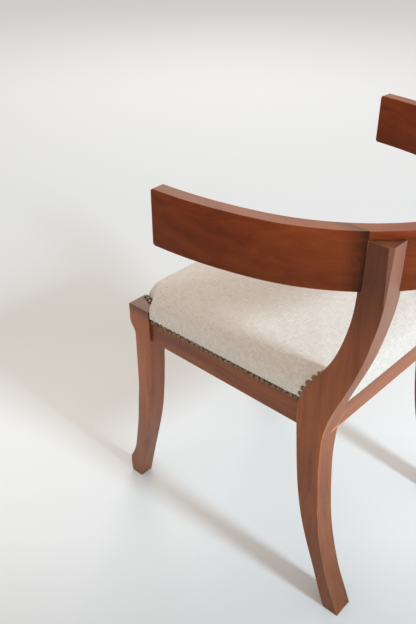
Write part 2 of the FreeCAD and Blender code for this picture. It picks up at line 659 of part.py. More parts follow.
foam = seat_form(COVER_THICKNESS + WADDING_THICKNESS, FOAM_RINGS).cut(foam_around)
foam = foam.cut(everywhere(0, hessian_top))
wadding = padding.cut(below_hem()).cut(rails_block).cut(foam)

# Decorative nails along the cover's edge
under_hem = NAIL_SHANK * 0.6
end_gap = NAIL_DIAMETER / 2 + 1.0
side_face = -SIDE_RAIL_RECESS + COVER_THICKNESS
first = V(side_face, BLOCK_BACK + end_gap, hem_front - under_hem)
last = V(side_face, SIDE_RAIL_END - end_gap, hem_post - under_hem)
nails_side = nail_row(first, last, V(-1, 0, 0))
nails_left = [on_left(nail) for nail, hole in nails_side]
nail_holes_left = [on_left(hole) for nail, hole in nails_side]
front_end = outer_x(front_rail_front, FRONT_LEG_WIDTH) - end_gap
nail_depth = front_rail_front - COVER_THICKNESS
nails_front = nail_row(V(-front_end, nail_depth, hem_front - under_hem),
                       V(front_end, nail_depth, hem_front - under_hem), V(0, 1, 0))

# Dust cover and its tacks
dust = rails_outline(RAIL_BOTTOM, DUST_COVER_MARGIN).extrude(V(0, 0, -DUST_COVER_THICKNESS))
dust = dust.cut(both_legs + both_posts)
dust_tacks = []
dust_holes = []
middle_depth = (front_middle + back_middle) / 2
for k in range(DUST_TACK_COUNT):
    along = (k - (DUST_TACK_COUNT - 1) / 2) * DUST_TACK_PITCH
    side_x = outer_x(middle_depth + along, SIDE_RAIL_RECESS + RAIL_THICKNESS / 2)
    for x, y in ((along, front_middle), (along, back_middle), (side_x, middle_depth + along),
                 (-side_x, middle_depth + along)):
        tack, hole = tack_solid(V(x, y, RAIL_BOTTOM - DUST_COVER_THICKNESS), UP)
        dust_tacks.append(tack)
        dust_holes.append(hole)

# Move everything to the middle of the outline and write it out
toe_front = (FRONT_TOE - FRONT_TOE_BULGE) * math.cos(taper) - FRONT_FOOT_WIDTH * math.sin(taper)
centre_depth = (toe_front + crest_back) / 2

pieces = {
    "front_leg_left": leg_left,
    "front_leg_right": mirrored(leg_left),
    "rear_post_left": post_left,
    "rear_post_right": mirrored(post_left),
    "side_rail_left": side_rail_left.cut(tack_holes + dust_holes + nail_holes_left),
    "front_rail": front_rail.cut(tack_holes + dust_holes + [hole for nail, hole in nails_front]),
    "back_rail": back_rail.cut(tack_holes + dust_holes),
    "crest_rail": crest,
    "crest_dowels": Part.makeCompound(pins_left + [mirrored(pin) for pin in pins_left]),
    "corner_block_front_left": block_front_left,
    "corner_block_front_right": mirrored(block_front_left),
    "corner_block_back_left": block_back_left,
    "corner_block_back_right": mirrored(block_back_left),
    "corner_block_screws": Part.makeCompound(screw_solids + [mirrored(solid) for solid in screw_solids]),
    "webbing_tacks": Part.makeCompound(tacks),
    "hessian": hessian.cut(tacks),
    "seat_foam": foam,
    "wadding": wadding,
    "seat_cover": cover,
    "cover_nails_left": Part.makeCompound(nails_left),
    "cover_nails_right": Part.makeCompound([mirrored(nail) for nail in nails_left]),
    "cover_nails_front": Part.makeCompound([nail for nail, hole in nails_front]),
    "dust_cover": dust.cut(dust_holes),
    "dust_cover_tacks": Part.makeCompound(dust_tacks),
}
pieces["side_rail_right"] = mirrored(pieces["side_rail_left"])
for name, strap in straps.items():
    pieces[name] = strap.cut(tack_holes)

os.makedirs("parts", exist_ok=True)
for name, shape in pieces.items():
    placed = shape.copy()
    placed.translate(V(0, -centre_depth, 0))
    placed.exportStep("parts/%s.step" % name)
    print(name, len(placed.Solids), "solids", round(placed.Volume), "mm3", placed.isValid())
print("middle of the outline at depth", round(centre_depth, 2), "crest back", round(crest_back, 2))
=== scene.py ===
import math
import random

import bmesh
import bpy
import numpy as np
from mathutils import Matrix, Vector


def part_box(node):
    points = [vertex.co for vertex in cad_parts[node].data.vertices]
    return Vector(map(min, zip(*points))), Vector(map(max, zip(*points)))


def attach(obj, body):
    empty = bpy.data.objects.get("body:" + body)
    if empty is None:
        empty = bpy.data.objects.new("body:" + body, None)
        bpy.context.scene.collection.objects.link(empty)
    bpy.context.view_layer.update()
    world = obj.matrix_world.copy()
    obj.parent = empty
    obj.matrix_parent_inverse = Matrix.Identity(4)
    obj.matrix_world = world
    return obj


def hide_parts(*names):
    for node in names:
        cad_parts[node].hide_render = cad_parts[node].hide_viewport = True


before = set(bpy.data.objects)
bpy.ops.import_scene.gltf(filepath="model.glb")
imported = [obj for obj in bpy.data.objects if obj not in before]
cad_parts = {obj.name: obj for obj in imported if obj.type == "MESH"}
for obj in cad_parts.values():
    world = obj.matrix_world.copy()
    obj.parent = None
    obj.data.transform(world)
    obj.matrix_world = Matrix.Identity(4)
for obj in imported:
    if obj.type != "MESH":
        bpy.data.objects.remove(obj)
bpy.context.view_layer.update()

MM = 0.001

# Places taken from the frame: the sitter's left is +X, the back is +Y
leg_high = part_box("front_leg_left")[1]
side_rail_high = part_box("side_rail_left")[1]
RAIL_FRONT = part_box("front_rail")[0].y
RAIL_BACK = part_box("back_rail")[1].y
POST_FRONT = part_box("rear_post_left")[0].y
CREST_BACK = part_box("crest_rail")[1].y
BLOCK_TOP = leg_high.z
BLOCK_BACK = leg_high.y
SIDE_TENON = 22.0 * MM
POST_FACE_Y = side_rail_high.y - SIDE_TENON      # where the side rail's shoulder meets the post
SIDE_LEAN = math.tan(math.radians(1.33))         # each side frame turns in towards the back

# The cover
COVER_THICKNESS = 1.2 * MM
SIDE_BULGE = 5.6 * MM
END_BULGE = 7.0 * MM
SHOULDER = 480.0 * MM
CROWN = 528.0 * MM
ROLL = 2.7                  # roundness of the rolled edge: 2 is an ellipse, more is squarer
ROLL_REACH = 225.0 * MM     # the crown rises over this distance from the edge
CORNER_RADIUS = 26.0 * MM
CORNER_POINTS = 10
HEM_FRONT = 452.0 * MM
HEM_POST = 459.5 * MM
HEM_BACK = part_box("seat_cover")[0].z
HEM_BACK_ZONE = 20.0 * MM   # depth of the strip at the back in which the hem lies lower
BOUNDARY_STEP = 3.2 * MM
COARSE_STEP = 8.0 * MM
TOP_RINGS = 36
SKIRT_RINGS = 16
SOFTENING = 4               # rounds of evening out between neighbouring columns

# Swellings and pulls above the cover's nailed edge
PUFF = 1.7 * MM             # how far the cover swells out
PUFF_START = 0.19           # share of the skirt's height at which the swelling starts
PUFF_GROWTH = 0.16          # share of that height over which it grows
PUFF_TO_POST = 25.0 * MM    # it dies out over this length in front of a post
PUCKER = 0.35 * MM          # depth of the small pulls between the nails
PUCKER_END = 0.7            # share of the skirt's height at which they end
SIDE_ZONE = 150.0 * MM      # further than this from the middle, the edge is on a side

# The cover's cut edge on a leg block
BLOCK_BARE = 37.5 * MM      # length of the block's front that the cover leaves bare
BLOCK_ZONE = 44.0 * MM      # width of the strip at each side that holds the cut edge
BLOCK_FALL = 24.0 * MM      # width of the steep fall of the crown towards the cut
CUT_LIFT = 1.0 * MM         # height of the cut edge above the block
CUT_BEHIND = 1.6 * MM       # the cut starts this far behind the block
CUT_BEFORE = 1.4 * MM       # and ends this far before the rail
CUT_SLACK = 2.0 * MM
CUT_BEND_SIDE = (19.0 * MM, 13.5 * MM)     # how far the curve's first bend lies in and forward
CUT_BEND_FRONT = (0.5 * MM, 26.0 * MM)     # how far its last bend lies in and back
CUT_POINTS = 32
CUT_SHRINK = 0.75           # share of a layer's inset that also moves the bends

# Layers under the cover, and flat cloths
LAYER_GAP = 0.2 * MM
WADDING_THICKNESS = 4.4 * MM
WADDING_SKIRT_RINGS = 6
FOAM_INSET = 6.4 * MM
CLOTH_THICKNESS = 0.5 * MM
CLOTH_CELLS = 48
DUST_COVER_SAG = 1.5 * MM
WELD_DISTANCE = 0.02 * MM

# Nails
NAIL_DIAMETER = 10.5 * MM
NAIL_HEIGHT = 3.2 * MM
NAIL_PITCH = 11.6 * MM
NAIL_SUNK = 0.9 * MM        # how far a head presses into padded cloth
NAIL_TILT = 0.09            # how far a head may lean out of true
NAIL_SIZES = (0.95, 1.03)   # smallest and largest head, as shares of the usual one
NAIL_SIDES = 20
NAIL_LEVELS = 6
NAIL_RIM = 0.9              # the underside is this much narrower than the head
NAIL_RIM_DEPTH = 0.3 * MM
NAIL_PROBE = 0.1            # a nail is looked for on the cover from this far outside

# Nails up the edge of the cover at a post: how far in from the side, how far back, height and lean,
# the first three in mm and the last in degrees
POST_NAILS = ((2, -1, 462, 0), (2, 3, 474, 5), (4, 7, 485, 20), (9, 12, 496, 40), (17, 16, 505, 60),
              (27, 20, 511, 75), (37.5, 23, 515, 80))
# Nails on a leg block: how far in from the side and how far back, in mm
BLOCK_NAILS = ((29.5, 3.0), (25.5, 13.0), (33.5, -7.0))
BLOCK_NAIL_WAY = Vector((-0.2, 0.1, 1))
BLOCK_NAIL_LIFT = 0.4 * MM


# Small helpers for meshes
def piece(name, mesh, material):
    """An object of this mesh that rides on the chair and takes its finish from a slot."""
    made = bpy.data.objects.new(name, mesh)
    bpy.context.scene.collection.objects.link(made)
    mesh.materials.clear()
    mesh.materials.append(material)
    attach(made, "root")
    return made


def mesh_from(name, points, faces, smooth=True):
    """A mesh of these points and faces."""
    mesh = bpy.data.meshes.new(name)
    mesh.from_pydata([tuple(p) for p in points], [], faces)
    mesh.validate()
    mesh.polygons.foreach_set("use_smooth", [smooth] * len(mesh.polygons))
    mesh.update()
    return mesh


def side_face(y, inward=0.0):
    """How far the outer face of the side rails stands from the middle at this depth."""
    return side_rail_high.x - inward - (y - BLOCK_BACK) * SIDE_LEAN


# Small helpers for shader nodes
def add(tree, kind, settings=None, **inputs):
    """A shader node of this kind, with its settings, and its inputs set or linked by name."""
    node = tree.nodes.new("ShaderNode" + kind)
    for name, value in (settings or {}).items():
        setattr(node, name, value)
    for name, value in inputs.items():
        feed(tree, node.inputs[name.replace("_", " ")], value)
    return node


def feed(tree, socket, value):
    """Links the socket to another one, or gives it a fixed value."""
    if isinstance(value, bpy.types.NodeSocket):
        tree.links.new(value, socket)
    else:
        socket.default_value = value


def calculate(tree, operation, *values):
    """The result of a sum on numbers or sockets."""
    node = tree.nodes.new("ShaderNodeMath")
    node.operation = operation
    for socket, value in zip(node.inputs, values):
        feed(tree, socket, value)
    return node.outputs[0]


def vectors(tree, operation, *values):
    """The same for vectors."""
    node = tree.nodes.new("ShaderNodeVectorMath")
    node.operation = operation
    for socket, value in zip(node.inputs, values):
        feed(tree, socket, value)
    return node.outputs["Value"] if operation == "DOT_PRODUCT" else node.outputs[0]


def mix(tree, share, first, second, blend="MIX"):
    """The first colour with this share of the second one in it."""
    node = tree.nodes.new("ShaderNodeMix")
    node.data_type = "RGBA"
    node.blend_type = blend
    feed(tree, node.inputs[0], share)
    feed(tree, node.inputs[6], first)
    feed(tree, node.inputs[7], second)
    return node.outputs[2]


def ramp(tree, value, *stops):
    """A colour or grey for each value: stops are (position, grey or (r, g, b))."""
    node = tree.nodes.new("ShaderNodeValToRGB")
    feed(tree, node.inputs[0], value)
    while len(node.color_ramp.elements) < len(stops):
        node.color_ramp.elements.new(0.5)
    for element, (position, colour) in zip(node.color_ramp.elements, stops):
        element.position = position
        rgb = colour if isinstance(colour, tuple) else (colour, colour, colour)
        element.color = (*rgb, 1.0)
    return node.outputs[0]


def noise(tree, vector, scale, detail=3.0, roughness=0.55):
    """Smooth random values about 0.5."""
    return add(tree, "TexNoise", Vector=vector, Scale=scale, Detail=detail, Roughness=roughness).outputs[0]


def scaled(tree, vector, x, y, z):
    """The vector with each part multiplied by its own number."""
    return vectors(tree, "MULTIPLY", vector, (x, y, z))


def new_material(name):
    """A material, its node tree and its shader."""
    material = bpy.data.materials.new(name)
    material.use_nodes = True
    tree = material.node_tree
    return material, tree, tree.nodes["Principled BSDF"]


# Materials
CREST_RADIUS = 320.0 * MM    # about which the crest's grain bends
ARC_CENTRE_Y = CREST_BACK - CREST_RADIUS
POST_OUTSIDE = 219.6 * MM    # outer face of a post where the crest crosses it
WOOD_DARK = (0.145, 0.037, 0.0125)
WOOD_MIDDLE = (0.235, 0.068, 0.024)
WOOD_LIGHT = (0.320, 0.104, 0.040)
WOOD_PORE = (*(c * 0.4 for c in WOOD_DARK), 1.0)
WOOD_RUBBED = (0.60, 0.235, 0.085, 1.0)
# painted sheen: a light pinkish colour for upper faces that look to the back
WOOD_REAR_SHEEN = (0.44, 0.20, 0.135, 1.0)
# dust colour, also used as painted sheen on level tops
WOOD_DUST_AND_SHEEN = (0.36, 0.20, 0.135, 1.0)
# darker colour for the crest beside the posts
WOOD_BESIDE_POSTS = (0.018, 0.006, 0.003, 1.0)
# painted shade for corners and junctions
WOOD_CORNER_SHADE = (0.012, 0.005, 0.003, 1.0)
WOOD_MARK = (0.030, 0.010, 0.004, 1.0)


def grain_coordinates(tree, along):
    """Object coordinates turned so that the first one runs along the grain."""
    place = add(tree, "TexCoord").outputs["Object"]
    parts = add(tree, "SeparateXYZ", Vector=place)
    x, y, z = parts.outputs[0], parts.outputs[1], parts.outputs[2]
    if along == "arc":
        depth = calculate(tree, "SUBTRACT", y, ARC_CENTRE_Y)
        angle = calculate(tree, "ARCTAN2", x, depth)
        reach = calculate(tree, "SQRT", calculate(tree, "ADD", calculate(tree, "MULTIPLY", x, x),
                                                  calculate(tree, "MULTIPLY", depth, depth)))
        order = (calculate(tree, "MULTIPLY", angle, CREST_RADIUS), reach, z)
    else:
        order = {"x": (x, y, z), "y": (y, x, z), "z": (z, x, y)}[along]
    return add(tree, "CombineXYZ", X=order[0], Y=order[1], Z=order[2]).outputs[0]


def wood(name, along, shift, tone_and_shade, figure=1.0, gloss=0.3, streaky=0.3, dust_and_sheen=0.12, rear_sheen=0.0,
         darker_beside_posts=False):
    """Stained and polished hardwood: streaked grain, a soft figure, worn arrises and painted shade in
    corners.
    Each tint multiplies its colour at the height in metres that stands before it; where the tints change
    with height they paint in shade. The crest is darkened beside the posts, and a setting gives the share
    of painted sheen on faces that look to the back."""
    material, tree, shader = new_material(name)
    # The grain: places that wander, then rings, streaks, pores and slow clouds stretched along it
    place = vectors(tree, "ADD", grain_coordinates(tree, along), (shift, shift * 0.37, shift * 0.61))
    drift = noise(tree, scaled(tree, place, 3.0, 9.0, 9.0), 1.0, 2.0)
    wander = calculate(tree, "MULTIPLY", calculate(tree, "SUBTRACT", drift, 0.5), 0.05 * figure)
    place = vectors(tree, "ADD", place, add(tree, "CombineXYZ", X=0.0, Y=wander, Z=wander).outputs[0])
    rings = noise(tree, scaled(tree, place, 2.2, 46.0, 46.0), 1.0, 3.0, 0.6)
    streaks = noise(tree, scaled(tree, place, 12.0, 420.0, 420.0), 1.0, 4.0, 0.6)
    pores = noise(tree, scaled(tree, place, 45.0, 1500.0, 1500.0), 1.0, 2.0, 0.5)
    clouds = noise(tree, scaled(tree, place, 7.0, 11.0, 11.0), 1.0, 3.0, 0.5)
    colour = ramp(tree, rings, (0.30, WOOD_DARK), (0.50, WOOD_MIDDLE), (0.72, WOOD_LIGHT))
    colour = mix(tree, ramp(tree, clouds, (0.35, 0.0), (0.7, 0.5)), colour, (*WOOD_LIGHT, 1.0))
    colour = mix(tree, ramp(tree, streaks, (0.40, 0.0), (0.62, streaky)), colour, (*WOOD_DARK, 1.0))
    colour = mix(tree, ramp(tree, pores, (0.60, 0.0), (0.72, 0.35)), colour, WOOD_PORE)
    # Arrises rubbed light
    rounded = add(tree, "Bevel", {"samples": 6}, Radius=2.5 * MM).outputs[0]
    facing = add(tree, "NewGeometry").outputs["Normal"]
    arris = calculate(tree, "SUBTRACT", 1.0, vectors(tree, "DOT_PRODUCT", rounded, facing))
    rub = noise(tree, scaled(tree, place, 30.0, 60.0, 60.0), 1.0, 4.0, 0.6)
    worn = calculate(tree, "MULTIPLY", ramp(tree, arris, (0.01, 0.0), (0.10, 1.0)),
                     ramp(tree, rub, (0.42, 0.15), (0.60, 1.0)))
    colour = mix(tree, worn, colour, WOOD_RUBBED)
    # Tint by height, whose changes with height are painted shade, painted sheen on faces that look to the
    # back, and a darker crest beside the posts
    parts = add(tree, "SeparateXYZ", Vector=add(tree, "TexCoord").outputs["Object"])
    across, height = parts.outputs[0], parts.outputs[2]
    # painted shade: the tints change with height
    colour = mix(tree, 1.0, colour, ramp(tree, height, *tone_and_shade), "MULTIPLY")
    # painted sheen on the upper parts of faces that look to the back
    if rear_sheen:
        rearward = add(tree, "SeparateXYZ", Vector=facing).outputs[1]
        share = calculate(tree, "MULTIPLY", ramp(tree, rearward, (0.60, 0.0), (0.90, rear_sheen)),
                          ramp(tree, height, (0.55, 0.0), (0.72, 1.0)))
        colour = mix(tree, share, colour, WOOD_REAR_SHEEN)
    # the crest is darker beside the posts, fading outward
    if darker_beside_posts:
        beside = calculate(tree, "SUBTRACT", calculate(tree, "ABSOLUTE", across), POST_OUTSIDE)
        near = ramp(tree, calculate(tree, "MULTIPLY", beside, 40.0),
                    (0.0, 0.0), (0.02, 0.95), (0.30, 0.65), (0.85, 0.0))
        near = calculate(tree, "MULTIPLY", near, ramp(tree, rub, (0.35, 0.7), (0.6, 1.0)))
        colour = mix(tree, near, colour, WOOD_BESIDE_POSTS)
    # Dust on level tops, partly painted sheen, painted shade in inner corners and a few dark marks
    # lighter level tops: dust, and painted sheen
    upward = add(tree, "SeparateXYZ", Vector=facing).outputs[2]
    dust_and_sheen_mask = calculate(tree, "MULTIPLY", ramp(tree, upward, (0.80, 0.0), (0.97, 0.75 * dust_and_sheen)),
                      ramp(tree, clouds, (0.30, 0.55), (0.60, 1.0)))
    colour = mix(tree, dust_and_sheen_mask, colour, WOOD_DUST_AND_SHEEN)
    # painted shade: darker where the surface is closed in by other parts
    corners = add(tree, "AmbientOcclusion", {"samples": 6, "only_local": False}, Distance=6.0 * MM)
    open_air = corners.outputs["AO"]
    colour = mix(tree, ramp(tree, open_air, (0.35, 0.9), (0.78, 0.0)), colour, WOOD_CORNER_SHADE)
    marks = noise(tree, scaled(tree, place, 26.0, 55.0, 55.0), 1.0, 5.0, 0.7)
    colour = mix(tree, ramp(tree, marks, (0.67, 0.0), (0.72, 0.6)), colour, WOOD_MARK)
    # Polish over an open grain
    feed(tree, shader.inputs["Base Color"], colour)
    feed(tree, shader.inputs["Roughness"], ramp(tree, clouds, (0.3, 0.36), (0.75, 0.52)))
    relief = mix(tree, 0.5, streaks, pores)
    bump = add(tree, "Bump", Strength=0.12, Distance=0.4 * MM, Height=relief)
    feed(tree, shader.inputs["Normal"], bump.outputs[0])
    shader.inputs["Specular IOR Level"].default_value = gloss
    shader.inputs["Coat Weight"].default_value = gloss * 0.3
    shader.inputs["Coat Roughness"].default_value = 0.28
    return material


def raw_wood(name, along, shift):
    """Unfinished beech for what the seat hides."""
    material, tree, shader = new_material(name)
    place = vectors(tree, "ADD", grain_coordinates(tree, along), (shift, shift, shift))
    streaks = noise(tree, scaled(tree, place, 8.0, 300.0, 300.0), 1.0, 4.0, 0.6)
    clouds = noise(tree, scaled(tree, place, 5.0, 30.0, 30.0), 1.0, 3.0)
    colour = ramp(tree, streaks, (0.35, (0.42, 0.27, 0.15)), (0.65, (0.62, 0.44, 0.27)))
    colour = mix(tree, ramp(tree, clouds, (0.4, 0.0), (0.7, 0.4)), colour, (0.36, 0.22, 0.12, 1.0))
    feed(tree, shader.inputs["Base Color"], colour)
    shader.inputs["Roughness"].default_value = 0.7
    bump = add(tree, "Bump", Strength=0.2, Distance=0.3 * MM, Height=streaks)
    feed(tree, shader.inputs["Normal"], bump.outputs[0])
    return material


def woven(name, light, dark, threads, slub, fuzz, coordinates="Object", strength=0.5):
    """Plain-woven cloth: threads is their number in a metre, slub how uneven they are."""
    material, tree, shader = new_material(name)
    if coordinates == "Object":
        place = add(tree, "TexCoord").outputs["Object"]
    else:
        place = add(tree, "UVMap", {"uv_map": coordinates}).outputs[0]
    wobble = noise(tree, scaled(tree, place, 60.0, 60.0, 60.0), 1.0, 2.0)
    sway = calculate(tree, "MULTIPLY", calculate(tree, "SUBTRACT", wobble, 0.5), 1.4 * MM)
    place = vectors(tree, "ADD", place, add(tree, "CombineXYZ", X=sway, Y=sway, Z=sway).outputs[0])
    parts = add(tree, "SeparateXYZ", Vector=place)
    heights = []
    for socket in (parts.outputs[0], parts.outputs[1]):
        turn = calculate(tree, "MULTIPLY", socket, threads * 2 * math.pi)
        heights.append(calculate(tree, "SINE", turn))
    along_x = noise(tree, scaled(tree, place, 60.0, threads * 0.45, 60.0), 1.0, 4.0, 0.7)
    along_y = noise(tree, scaled(tree, place, threads * 0.45, 60.0, 60.0), 1.0, 4.0, 0.7)
    weave = calculate(tree, "MULTIPLY", heights[0], heights[1])
    slubs = calculate(tree, "MAXIMUM", along_x, along_y)
    tone = calculate(tree, "ADD", calculate(tree, "MULTIPLY", weave, 0.16),
                     calculate(tree, "MULTIPLY", calculate(tree, "SUBTRACT", slubs, 0.55), slub))
    colour = ramp(tree, calculate(tree, "ADD", tone, 0.5), (0.15, dark), (0.62, light))
    feed(tree, shader.inputs["Base Color"], colour)
    shader.inputs["Roughness"].default_value = 0.92
    shader.inputs["Specular IOR Level"].default_value = 0.15
    shader.inputs["Sheen Weight"].default_value = fuzz
    shader.inputs["Sheen Roughness"].default_value = 0.5
    relief = calculate(tree, "ADD", calculate(tree, "MULTIPLY", weave, 0.5), slubs)
    bump = add(tree, "Bump", Strength=strength, Distance=0.5 * MM, Height=relief)
    feed(tree, shader.inputs["Normal"], bump.outputs[0])
    return material


def spongy(name, light, dark, scale):
    """Foam or wadding: a mottled open surface."""
    material, tree, shader = new_material(name)
    place = add(tree, "TexCoord").outputs["Object"]
    cells = noise(tree, place, scale, 5.0, 0.7)
    feed(tree, shader.inputs["Base Color"], ramp(tree, cells, (0.35, dark), (0.65, light)))
    shader.inputs["Roughness"].default_value = 0.95
    bump = add(tree, "Bump", Strength=0.6, Distance=1.0 * MM, Height=cells)
    feed(tree, shader.inputs["Normal"], bump.outputs[0])
    return material


def metal(name, bright, tarnish, roughness, patches):
    """Metal with patches of tarnish, scaled by the given number to a metre."""
    material, tree, shader = new_material(name)
    place = add(tree, "TexCoord").outputs["Object"]
    spots = noise(tree, place, patches, 4.0, 0.6)
    share = ramp(tree, spots, (0.38, 0.0), (0.62, 1.0))
    feed(tree, shader.inputs["Base Color"], mix(tree, share, (*bright, 1.0), (*tarnish, 1.0)))
    feed(tree, shader.inputs["Roughness"], ramp(tree, spots, (0.35, roughness), (0.7, roughness + 0.28)))
    shader.inputs["Metallic"].default_value = 1.0
    bump = add(tree, "Bump", Strength=0.15, Distance=0.2 * MM, Height=spots)
    feed(tree, shader.inputs["Normal"], bump.outputs[0])
    return material


linen = woven("linen", (0.93, 0.855, 0.79), (0.60, 0.515, 0.44), 1150.0, 1.7, 0.12,
              coordinates="weave", strength=0.8)
hessian_cloth = woven("hessian", (0.50, 0.36, 0.20), (0.20, 0.13, 0.06), 500.0, 1.2, 0.1)
jute = woven("jute_webbing", (0.46, 0.33, 0.18), (0.18, 0.11, 0.05), 420.0, 1.0, 0.1)
cambric = woven("black_cambric", (0.030, 0.029, 0.028), (0.010, 0.010, 0.010), 1500.0, 0.8, 0.1)
foam = spongy("foam", (0.78, 0.70, 0.45), (0.58, 0.50, 0.28), 1400.0)
fleece = spongy("wadding", (0.82, 0.81, 0.78), (0.62, 0.60, 0.57), 500.0)
aged_brass = metal("aged_brass", (0.36, 0.27, 0.155), (0.030, 0.023, 0.016), 0.22, 420.0)
steel = metal("steel", (0.55, 0.55, 0.56), (0.22, 0.20, 0.18), 0.35, 300.0)


# Wood pieces stay as they are in the frame, with eased edges
def eased(node, width, material):
    """Gives a piece of wood its finish and eased edges of this width."""
    wood_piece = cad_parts[node]
    wood_piece.data.materials.clear()
    wood_piece.data.materials.append(material)
    weld = wood_piece.modifiers.new("weld", "WELD")
    weld.merge_threshold = WELD_DISTANCE
    flat = wood_piece.modifiers.new("flat_faces", "DECIMATE")
    flat.decimate_type = "DISSOLVE"
    flat.angle_limit = math.radians(0.4)
    edge = wood_piece.modifiers.new("eased_edges", "BEVEL")
    edge.width = width
    edge.segments = 3
    edge.limit_method = "ANGLE"
    edge.angle_limit = math.radians(32)
    even = wood_piece.modifiers.new("even_shading", "WEIGHTED_NORMAL")
    even.keep_sharp = False
    even.weight = 60


# Tints of each kind of piece: height in metres, then what multiplies the colour there.
# They give each piece its tone, and their changes with height are painted light and shade.
LEG_TONE_AND_SHADE = ((0.10, (0.90, 0.93, 0.84)), (0.32, (1.40, 1.34, 1.16)), (0.45, (1.25, 1.18, 1.0)),
             (0.4715, (0.55, 0.45, 0.34)))
POST_TONE_AND_SHADE = ((0.10, (0.70, 0.69, 0.65)), (0.40, (1.28, 1.24, 0.98)), (0.60, (1.00, 0.93, 0.77)),
              (0.72, (0.50, 0.43, 0.36)))
RAIL_TINTS = ((0.40, (0.93, 0.86, 0.66)), (0.47, (0.93, 0.86, 0.66)))
CREST_TONE_AND_SHADE = ((0.70, (0.58, 0.39, 0.26)), (0.80, (0.82, 0.51, 0.31)))
LEG_EDGE = 1.8 * MM
RAIL_EDGE = 0.7 * MM
CREST_EDGE = 2.0 * MM
NEXT_PLANK = 1.37      # each piece takes its grain from this much further along
shift = 0.0
for side in ("left", "right"):
    shift += NEXT_PLANK
    eased(f"front_leg_{side}", LEG_EDGE,
          wood(f"stained_wood_front_leg_{side}", "z", shift, LEG_TONE_AND_SHADE, gloss=0.40))
for side in ("left", "right"):
    shift += NEXT_PLANK
    eased(f"rear_post_{side}", LEG_EDGE,
          wood(f"stained_wood_rear_post_{side}", "z", shift, POST_TONE_AND_SHADE, gloss=0.28, rear_sheen=0.42))
for side in ("left", "right"):
    shift += NEXT_PLANK
    eased(f"side_rail_{side}", RAIL_EDGE, wood(f"stained_wood_side_rail_{side}", "y", shift, RAIL_TINTS))
eased("front_rail", RAIL_EDGE, wood("stained_wood_front_rail", "x", 11.3, RAIL_TINTS))
eased("back_rail", RAIL_EDGE, wood("stained_wood_back_rail", "x", 13.9, LEG_TONE_AND_SHADE, gloss=0.4))
eased("crest_rail", CREST_EDGE, wood("stained_wood_crest", "arc", 17.1, CREST_TONE_AND_SHADE, figure=3.0,
                                     gloss=0.10, streaky=0.18, dust_and_sheen=0.45, darker_beside_posts=True))


def finish_node(node, material):
    """Gives a piece that stays as it is in the frame its material."""
    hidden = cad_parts[node]
    hidden.data.materials.clear()
    hidden.data.materials.append(material)


for place in ("front_left", "front_right", "back_left", "back_right"):
    shift += NEXT_PLANK
    finish_node(f"corner_block_{place}", raw_wood(f"plain_wood_{place}", "x", shift))
finish_node("crest_dowels", raw_wood("plain_wood_dowels", "x", 3.3))
finish_node("corner_block_screws", steel)
finish_node("webbing_tacks", steel)
finish_node("dust_cover_tacks", steel)
for k in range(1, 5):
    finish_node(f"webbing_lengthwise_{k}", jute)
    finish_node(f"webbing_crosswise_{k}", jute)


# The seat's outline seen from above, with the front corners cut back to show the leg blocks
def curve_points(corners, count):
    """Points on a cubic curve through its first and last corner."""
    a, b, c, d = (np.array(corner) for corner in corners)
    t = np.linspace(0, 1, count)[:, None]
    return a * (1 - t) ** 3 + 3 * b * t * (1 - t) ** 2 + 3 * c * t ** 2 * (1 - t) + d * t ** 3


def block_cut(out):
    """The cover's edge across the top of the left leg block, from the side to the front."""
    y_side = BLOCK_BACK + CUT_BEHIND + max(COVER_THICKNESS - out, 0.0)
    x_side = side_face(y_side) + out
    inset = max(SIDE_BULGE - out, 0.0) * CUT_SHRINK if out < COVER_THICKNESS else 0.0
    x_front = side_face(RAIL_FRONT) - BLOCK_BARE - inset
    y_front = RAIL_FRONT - out - CUT_BEFORE
    first_bend = (x_side - CUT_BEND_SIDE[0], y_side - CUT_BEND_SIDE[1] + inset)
    last_bend = (x_front - CUT_BEND_FRONT[0], y_front + CUT_BEND_FRONT[1] + inset)
    return curve_points(((x_side, y_side), first_bend, last_bend, (x_front, y_front)), CUT_POINTS)


def even_loop(half, step, count=None):
    """Even points round a loop whose right half is given, counter-clockwise from the middle of the
    front: about a step apart, or as many as the count says."""
    loop = np.concatenate([half, (half * [-1, 1])[::-1][1:-1]])
    closed = np.concatenate([loop, loop[:1]])
    lengths = np.concatenate([[0], np.cumsum(np.linalg.norm(np.diff(closed, axis=0), axis=1))])
    if count is None:
        count = int(round(lengths[-1] / step / 2)) * 2
    wanted = np.linspace(0, lengths[-1], count, endpoint=False)
    return np.stack([np.interp(wanted, lengths, closed[:, k]) for k in (0, 1)], 1)


def corner_points(x, y, front):
    """A rounded corner of the seat's plan, in the order of the loop."""
    turn = np.linspace(0, math.pi / 2, CORNER_POINTS)
    way = -1 if front else 1
    corner = np.stack([x - CORNER_RADIUS * (1 - np.cos(turn)),
                       y - way * CORNER_RADIUS * (1 - np.sin(turn))], 1)
    return corner[::-1] if front else corner


def softened(values, rounds, axis=0):
    """Values round a loop, each evened out with its two neighbours."""
    for _ in range(rounds):
        values = values * 0.5 + (np.roll(values, 1, axis) + np.roll(values, -1, axis)) * 0.25
    return values


def seat_boundary(side_out, end_out, step=BOUNDARY_STEP, count=None, notched=True):
    """The seat's plan, with or without the front corners cut back at the leg blocks."""
    y_front, y_back = RAIL_FRONT - end_out, RAIL_BACK + end_out
    if notched:
        front = block_cut(side_out)[::-1].copy()
        front[0, 1] = y_front
    else:
        front = corner_points(side_face(y_front) + side_out, y_front, True)
    back = corner_points(side_face(y_back) + side_out, y_back, False)
    half = np.concatenate([[[0.0, y_front]], front, back, [[0.0, y_back]]])
    return softened(even_loop(half, step, count), 2)


